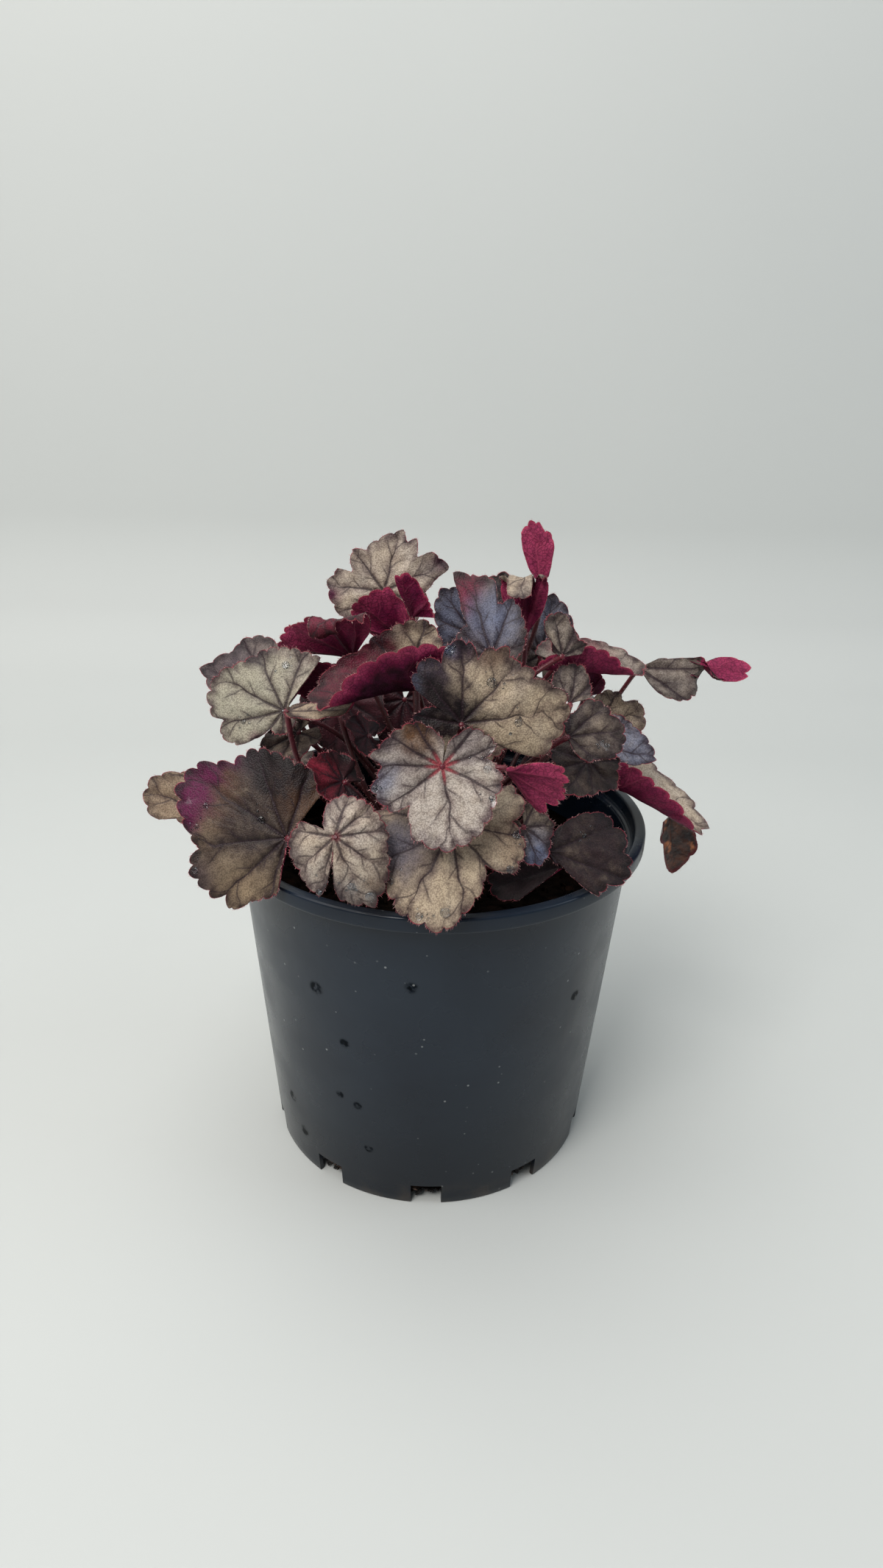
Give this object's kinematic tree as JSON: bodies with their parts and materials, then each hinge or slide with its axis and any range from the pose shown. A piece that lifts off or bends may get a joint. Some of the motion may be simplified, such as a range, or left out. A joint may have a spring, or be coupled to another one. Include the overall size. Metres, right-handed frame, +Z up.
{
  "type": "potted heuchera",
  "caption": "Heuchera plant with lobed, toothed leaves on stalks from a crown, in a round black nursery pot with a foot ring and drainage notches.",
  "frame": {"origin": "middle of the bounding box at the plane the pot's foot ring stands on", "axes": "+Z up out of the pot, -Y to the side of the plant that the picture shows"},
  "size_m": [0.1994, 0.1545, 0.2137],
  "materials": {
    "pot_plastic": "satin black polypropylene",
    "potting_mix": "crumbly peat and bark",
    "crown_bark": "rough brown stock",
    "leaf_tan": "soft satin leaf, tan and silver between dark veins",
    "leaf_wine": "satin leaf with its wine-red underside showing",
    "leaf_dry": "dead, dry, crumpled leaf"
  },
  "bodies": {
    "root": {"pot": "pot_plastic", "potting_mix": "potting_mix", "crown": "crown_bark", "leaf_front_centre": "leaf_tan", "leaf_front_low": "leaf_tan", "leaf_front_small": "leaf_tan", "leaf_left_large": "leaf_tan", "leaf_left_far": "leaf_tan", "leaf_left_upper": "leaf_tan", "leaf_left_back": "leaf_tan", "leaf_top_back": "leaf_tan", "leaf_fan_left": "leaf_wine", "leaf_roll_top": "leaf_wine", "leaf_roll_inner": "leaf_wine", "leaf_taco_left": "leaf_wine", "leaf_edge_left": "leaf_tan", "leaf_crinkle_inner": "leaf_wine", "leaf_red_young": "leaf_wine", "leaf_right_large": "leaf_tan", "leaf_upper_mid": "leaf_tan", "leaf_upper_back": "leaf_tan", "leaf_upright_tip": "leaf_wine", "leaf_upright_fold": "leaf_wine", "leaf_behind_right": "leaf_tan", "leaf_split_right": "leaf_tan", "leaf_crinkle_right": "leaf_tan", "leaf_twist_far": "leaf_tan", "leaf_mid_right": "leaf_tan", "leaf_maroon_right": "leaf_wine", "leaf_tan_right": "leaf_tan", "leaf_blue_right": "leaf_tan", "leaf_round_right": "leaf_tan", "leaf_under_right": "leaf_tan", "leaf_ruffle_pink": "leaf_wine", "leaf_taco_right": "leaf_tan", "leaf_dead": "leaf_dry", "leaf_low_right": "leaf_tan", "leaf_blue_small": "leaf_tan", "leaf_inside_low": "leaf_tan", "leaf_stem_left": "leaf_tan", "leaf_fold_left": "leaf_wine", "leaf_blue_left": "leaf_tan", "leaf_back_1": "leaf_tan", "leaf_back_2": "leaf_tan", "leaf_back_3": "leaf_tan", "leaf_back_4": "leaf_tan", "leaf_back_5": "leaf_tan", "leaf_back_6": "leaf_tan", "leaf_back_7": "leaf_tan", "leaf_back_8": "leaf_tan", "leaf_back_9": "leaf_tan", "leaf_back_10": "leaf_tan", "leaf_inner_left": "leaf_tan", "leaf_inner_mid": "leaf_tan"}
  },
  "joints": []
}
